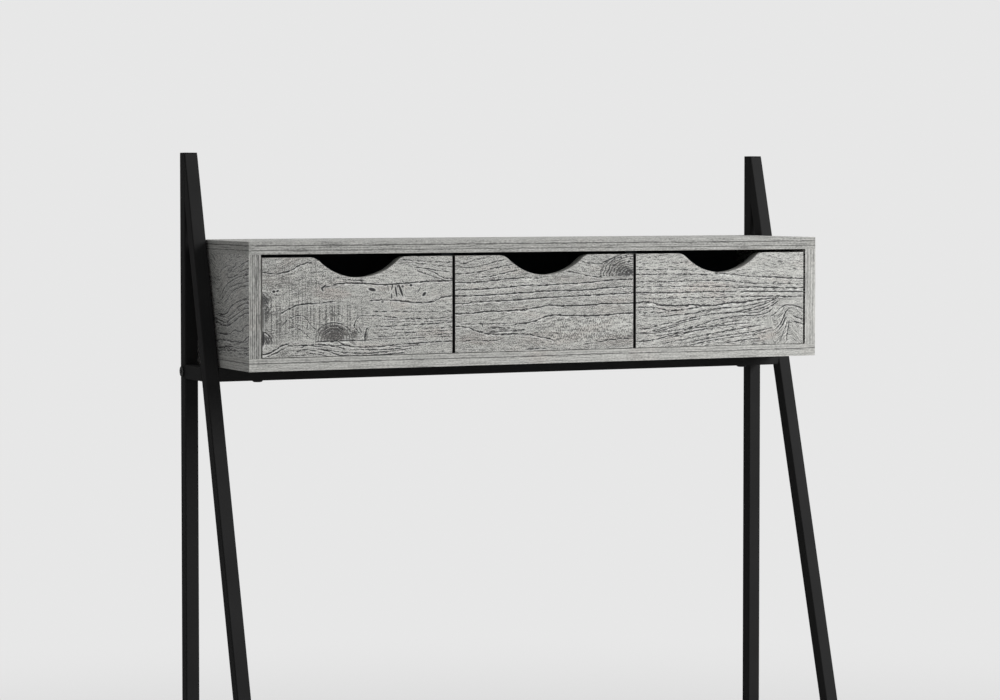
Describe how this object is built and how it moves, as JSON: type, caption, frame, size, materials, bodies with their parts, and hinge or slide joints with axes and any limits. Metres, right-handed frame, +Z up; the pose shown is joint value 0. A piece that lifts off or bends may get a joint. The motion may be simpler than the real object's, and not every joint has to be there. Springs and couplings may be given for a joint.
{
  "type": "ladder desk",
  "caption": "Freestanding ladder desk: A-shaped square-tube side frames carry a desktop at sitting height and, above it, a shallow box of drawers with scooped fronts.",
  "frame": {"origin": "on the floor, midway between the two side frames and midway between the front feet and the rear plane of the posts", "axes": "+X to the right of a person sitting at the desk, +Y towards the wall behind it, +Z up; drawers open towards -Y"},
  "size_m": [0.97, 0.468, 1.625],
  "materials": {
    "black_frame": "satin black powder coat on steel tube",
    "black_fasteners": "black-coated steel bolt heads",
    "black_plastic": "matte moulded plastic",
    "grey_board": "grey reclaimed-wood laminate, satin, fine dark grain",
    "grey_fronts": "grey reclaimed-wood laminate, satin, knots and saw marks",
    "drawer_board": "black melamine board",
    "back_panel": "dark hardboard",
    "runner_steel": "black-coated folded steel",
    "roller_nylon": "natural nylon"
  },
  "bodies": {
    "desk": {"left_rear_post": "black_frame", "right_rear_post": "black_frame", "left_front_leg": "black_frame", "right_front_leg": "black_frame", "left_box_rail": "black_frame", "right_box_rail": "black_frame", "left_desk_rail": "black_frame", "right_desk_rail": "black_frame", "left_desk_arm": "black_frame", "right_desk_arm": "black_frame", "left_foot_rail": "black_frame", "right_foot_rail": "black_frame", "box_front_bar": "black_frame", "box_rear_bar": "black_frame", "desk_front_bar": "black_frame", "desk_rear_bar": "black_frame", "frame_bolts": "black_fasteners", "bar_inserts": "black_plastic", "post_caps": "black_plastic", "arm_caps": "black_plastic", "post_feet": "black_plastic", "leg_feet": "black_plastic", "desktop": "grey_board", "box_top": "grey_board", "box_bottom": "grey_board", "box_left_side": "grey_board", "box_right_side": "grey_board", "left_divider": "drawer_board", "right_divider": "drawer_board", "box_back": "back_panel", "cabinet_runners": "runner_steel", "cabinet_rollers": "roller_nylon"},
    "left_drawer": {"left_drawer_front": "grey_fronts", "left_drawer_left_side": "drawer_board", "left_drawer_right_side": "drawer_board", "left_drawer_back": "drawer_board", "left_drawer_bottom": "drawer_board", "left_drawer_runners": "runner_steel", "left_drawer_rollers": "roller_nylon"},
    "middle_drawer": {"middle_drawer_front": "grey_fronts", "middle_drawer_left_side": "drawer_board", "middle_drawer_right_side": "drawer_board", "middle_drawer_back": "drawer_board", "middle_drawer_bottom": "drawer_board", "middle_drawer_runners": "runner_steel", "middle_drawer_rollers": "roller_nylon"},
    "right_drawer": {"right_drawer_front": "grey_fronts", "right_drawer_left_side": "drawer_board", "right_drawer_right_side": "drawer_board", "right_drawer_back": "drawer_board", "right_drawer_bottom": "drawer_board", "right_drawer_runners": "runner_steel", "right_drawer_rollers": "roller_nylon"}
  },
  "joints": [
    {"name": "left_drawer_slide", "type": "slide", "parent": "desk", "child": "left_drawer", "axis": [0, -1, 0], "range_m": [0, 0.13]},
    {"name": "middle_drawer_slide", "type": "slide", "parent": "desk", "child": "middle_drawer", "axis": [0, -1, 0], "range_m": [0, 0.13]},
    {"name": "right_drawer_slide", "type": "slide", "parent": "desk", "child": "right_drawer", "axis": [0, -1, 0], "range_m": [0, 0.13]}
  ]
}
